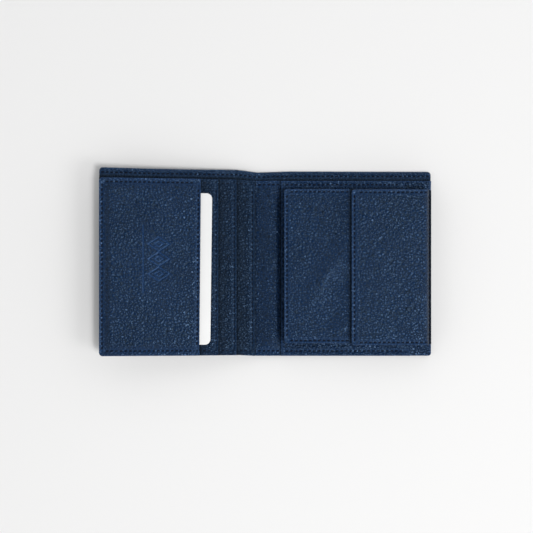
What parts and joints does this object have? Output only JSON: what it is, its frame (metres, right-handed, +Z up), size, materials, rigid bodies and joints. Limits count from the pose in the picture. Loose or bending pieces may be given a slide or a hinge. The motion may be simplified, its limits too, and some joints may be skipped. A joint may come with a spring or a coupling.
{
  "type": "bifold wallet",
  "caption": "Small bifold leather wallet with stepped card pockets on one half, a flapped coin pocket on the other, a note compartment and a blank card.",
  "frame": {"origin": "on the table under the middle of the fold, which is also the centre of the open wallet's box", "axes": "+X towards the coin pocket half, +Y towards the opening of the note compartment, +Z up, away from the table"},
  "size_m": [0.188, 0.1052, 0.0171],
  "materials": {
    "cover_leather": "fine pebbled grain, satin, navy blue",
    "inner_leather": "fine pebbled grain, satin, navy blue",
    "lining_leather": "smooth skived leather, matt, navy blue",
    "lining_cloth": "closely woven lining, dark navy",
    "thread": "bonded polyester thread, navy, tone on tone",
    "board": "bonded stiffening board, hidden",
    "stud_metal": "plated press stud, satin",
    "card_plastic": "blank white laminated card, smooth"
  },
  "bodies": {
    "right_half": {"coin_front_lining": "lining_cloth", "coin_gusset_lower": "inner_leather", "coin_gusset_side": "inner_leather", "coin_gusset_upper": "inner_leather", "coin_pocket_backing": "lining_leather", "coin_pocket_front": "inner_leather", "coin_stitching": "thread", "cover_lining_right": "lining_cloth", "cover_right": "cover_leather", "flap_seam_stitching": "thread", "flap_seam_tab": "inner_leather", "hem_stitching_right": "thread", "inner_panel_right": "inner_leather", "slip_pocket": "inner_leather", "slip_stitching": "thread", "stiffener_right": "board", "stud_post": "stud_metal", "stud_washer": "stud_metal"},
    "spine": {"cover_lining_spine": "lining_cloth", "cover_spine": "cover_leather", "hem_stitching_spine": "thread", "inner_panel_spine": "inner_leather", "panel_stitching_spine": "thread"},
    "left_half": {"cover_left": "cover_leather", "cover_lining_left": "lining_cloth", "edge_stitching_left": "thread", "front_pocket": "inner_leather", "front_pocket_lining": "lining_cloth", "front_pocket_stitching": "thread", "hem_stitching_left": "thread", "pocket_base": "inner_leather", "pocket_hem_lower": "inner_leather", "pocket_hem_outer": "inner_leather", "pocket_hem_upper": "inner_leather", "slot_2_cloth": "lining_cloth", "slot_2_leather": "inner_leather", "slot_2_stitching": "thread", "slot_3_cloth": "lining_cloth", "slot_3_leather": "inner_leather", "slot_3_stitching": "thread", "slot_4_cloth": "lining_cloth", "slot_4_leather": "inner_leather", "slot_4_stitching": "thread", "stiffener_left": "board"},
    "coin_flap": {"coin_flap_leather": "inner_leather", "coin_flap_lining": "lining_leather", "flap_stitching": "thread", "stud_cap": "stud_metal", "stud_socket": "stud_metal"},
    "card": {"blank_card": "card_plastic"}
  },
  "joints": [
    {"name": "spine_fold", "type": "hinge", "parent": "right_half", "child": "spine", "pos_m": [0.005, 0, 0.004], "axis": [0, 1, 0], "range_deg": [-3.5, 86.5]},
    {"name": "left_fold", "type": "hinge", "parent": "spine", "child": "left_half", "pos_m": [-0.00498, 0, 0.00461], "axis": [0, 1, 0], "range_deg": [-3.5, 86.5]},
    {"name": "coin_flap_lift", "type": "hinge", "parent": "right_half", "child": "coin_flap", "pos_m": [0.0916, 0, 0.0043], "axis": [0, 1, 0], "range_deg": [0, 150]},
    {"name": "card_slide", "type": "slide", "parent": "left_half", "child": "card", "axis": [0.9925, 0, -0.1219], "range_m": [-0.0017, 0.024]}
  ],
  "couplings": [
    {"joint": "spine_fold", "follows": "left_fold", "ratio": 1}
  ]
}
